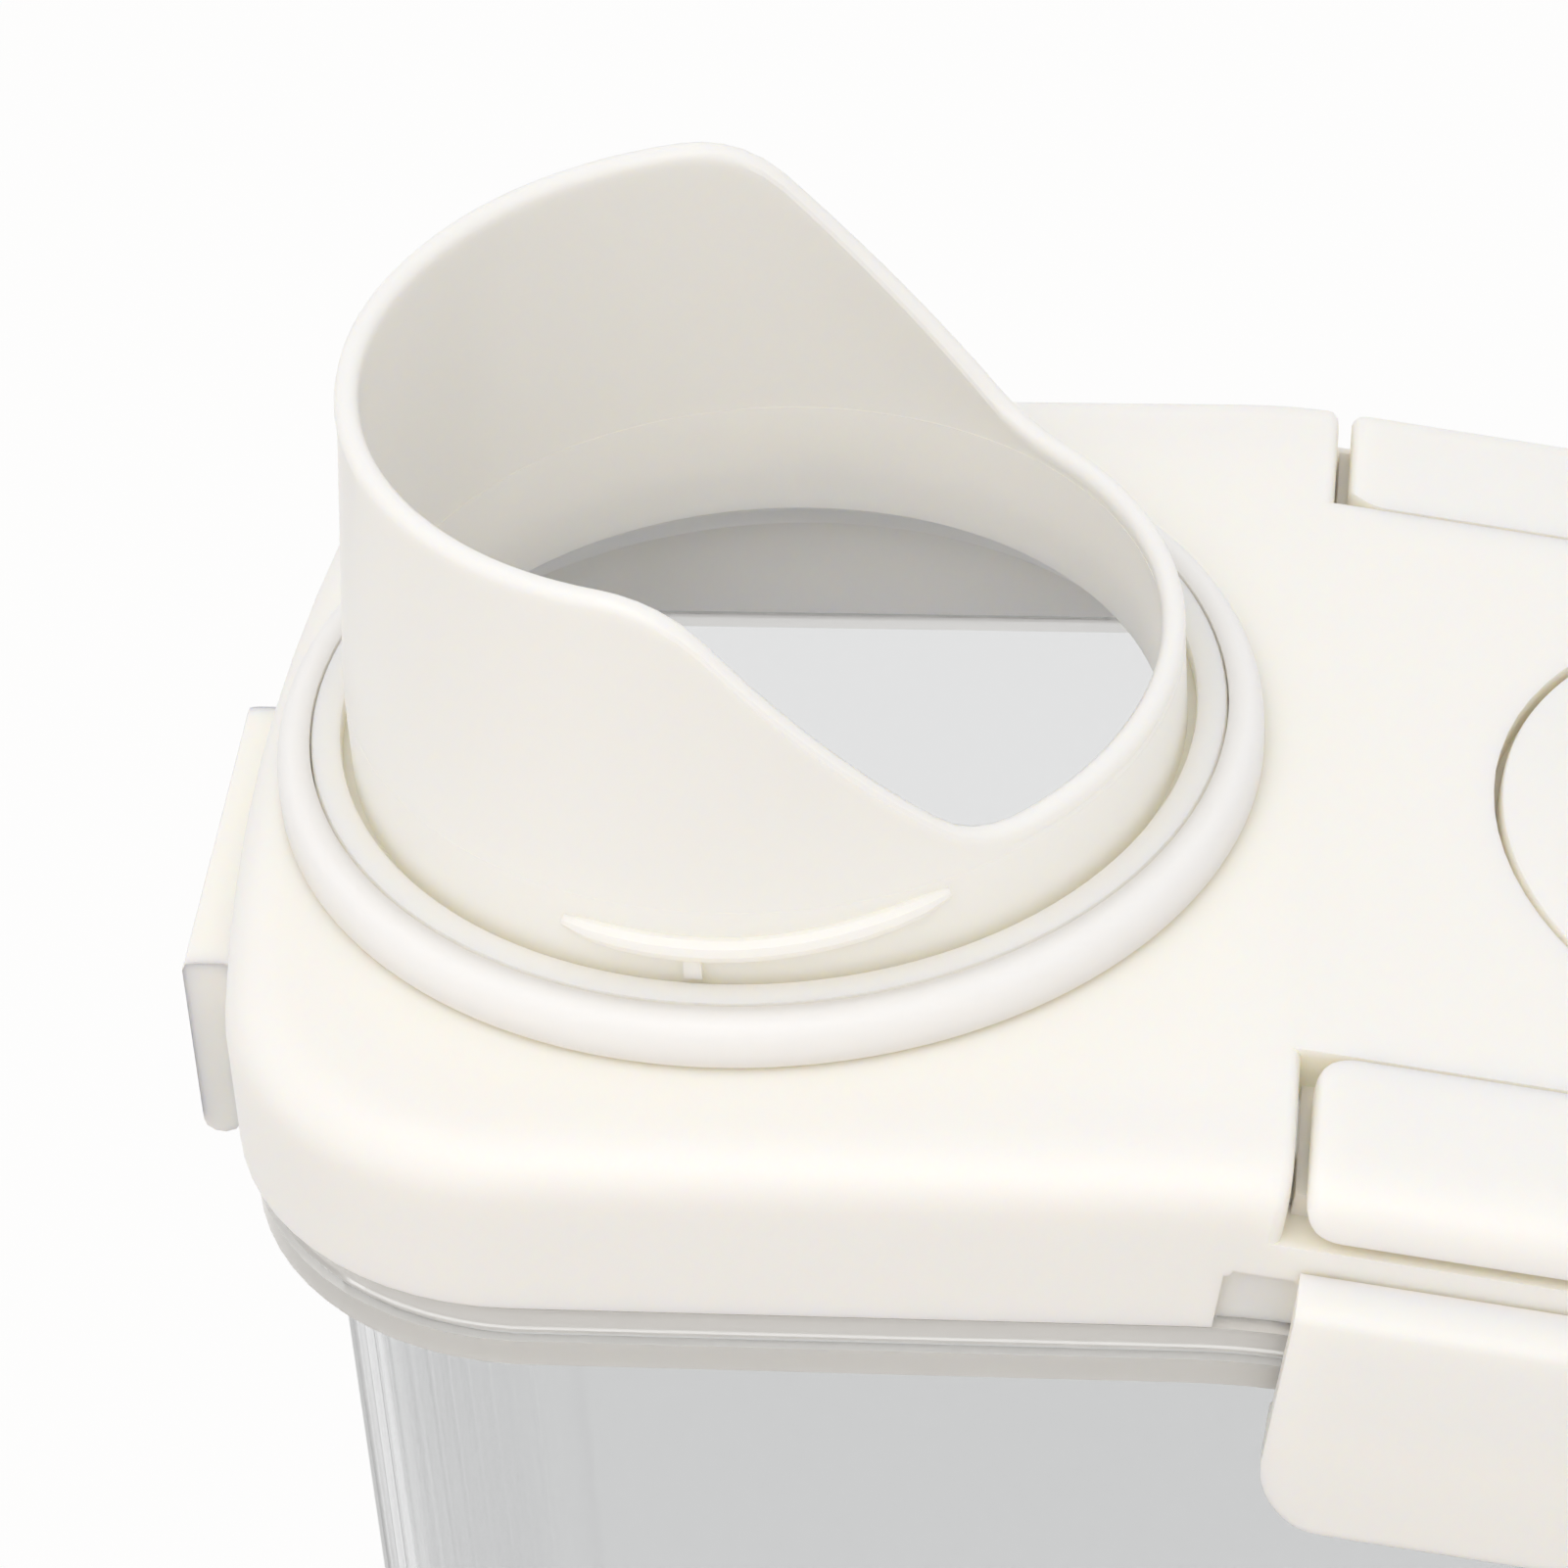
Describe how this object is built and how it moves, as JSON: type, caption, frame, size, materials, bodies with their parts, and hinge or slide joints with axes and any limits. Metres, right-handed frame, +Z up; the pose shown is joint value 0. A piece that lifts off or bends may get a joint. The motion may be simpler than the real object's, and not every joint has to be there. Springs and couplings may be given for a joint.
{
  "type": "cereal container",
  "caption": "Tall clear cereal container with a press-on lid, a slant-cut pour spout, hinged side and end latches, long press pads and a round flush cover in the sloping lid.",
  "frame": {"origin": "on the table under the middle of the container, at the bounding box's bottom centre", "axes": "+X along the container's length, away from the spout end; +Y across its width, to the far long side; +Z up"},
  "size_m": [0.249, 0.101, 0.2756],
  "materials": {
    "clear_plastic": "clear, smooth, glossy",
    "lid_plastic": "off-white, smooth, satin to glossy",
    "spout_plastic": "cream, smooth, glossy",
    "silicone": "milky, soft, satin"
  },
  "bodies": {
    "container": {"body": "clear_plastic"},
    "lid": {"lid": "lid_plastic", "pour_spout": "spout_plastic", "spout_seal": "silicone", "lid_seal": "silicone", "moisture_cup": "spout_plastic"},
    "near_latch": {"latch_near": "lid_plastic"},
    "far_latch": {"latch_far": "lid_plastic"},
    "spout_end_latch": {"latch_spout_end": "lid_plastic"},
    "back_end_latch": {"latch_back_end": "lid_plastic"},
    "near_pad": {"pad_near": "lid_plastic"},
    "far_pad": {"pad_far": "lid_plastic"},
    "disc": {"disc_cover": "lid_plastic"}
  },
  "joints": [
    {"name": "lid_lift", "type": "slide", "parent": "container", "child": "lid", "axis": [0, 0, 1], "range_m": [0, 0.06]},
    {"name": "near_latch_hinge", "type": "hinge", "parent": "lid", "child": "near_latch", "pos_m": [-0.00132, -0.0475, 0.22481], "axis": [-0.9839, 0, 0.1788], "range_deg": [0, 90]},
    {"name": "far_latch_hinge", "type": "hinge", "parent": "lid", "child": "far_latch", "pos_m": [-0.00132, 0.0475, 0.22481], "axis": [0.9839, 0, -0.1788], "range_deg": [0, 90]},
    {"name": "spout_end_latch_hinge", "type": "hinge", "parent": "lid", "child": "spout_end_latch", "pos_m": [-0.1208, 0, 0.2307], "axis": [0, 1, 0], "range_deg": [0, 90]},
    {"name": "back_end_latch_hinge", "type": "hinge", "parent": "lid", "child": "back_end_latch", "pos_m": [0.1208, 0, 0.21489], "axis": [0, -1, 0], "range_deg": [0, 90]},
    {"name": "near_pad_press", "type": "hinge", "parent": "lid", "child": "near_pad", "pos_m": [-0.00023, -0.0327, 0.23082], "axis": [0.9839, 0, -0.1788], "range_deg": [0, 2.5], "stiffness_Nm_per_rad": 0.05, "springref_deg": -0.57},
    {"name": "far_pad_press", "type": "hinge", "parent": "lid", "child": "far_pad", "pos_m": [-0.00023, 0.0327, 0.23082], "axis": [-0.9839, 0, 0.1788], "range_deg": [0, 2.5], "stiffness_Nm_per_rad": 0.05, "springref_deg": -0.57},
    {"name": "disc_turn", "type": "hinge", "parent": "lid", "child": "disc", "pos_m": [0, 0, 0.23209], "axis": [0.1788, 0, 0.9839], "range_deg": [0, 60]}
  ]
}
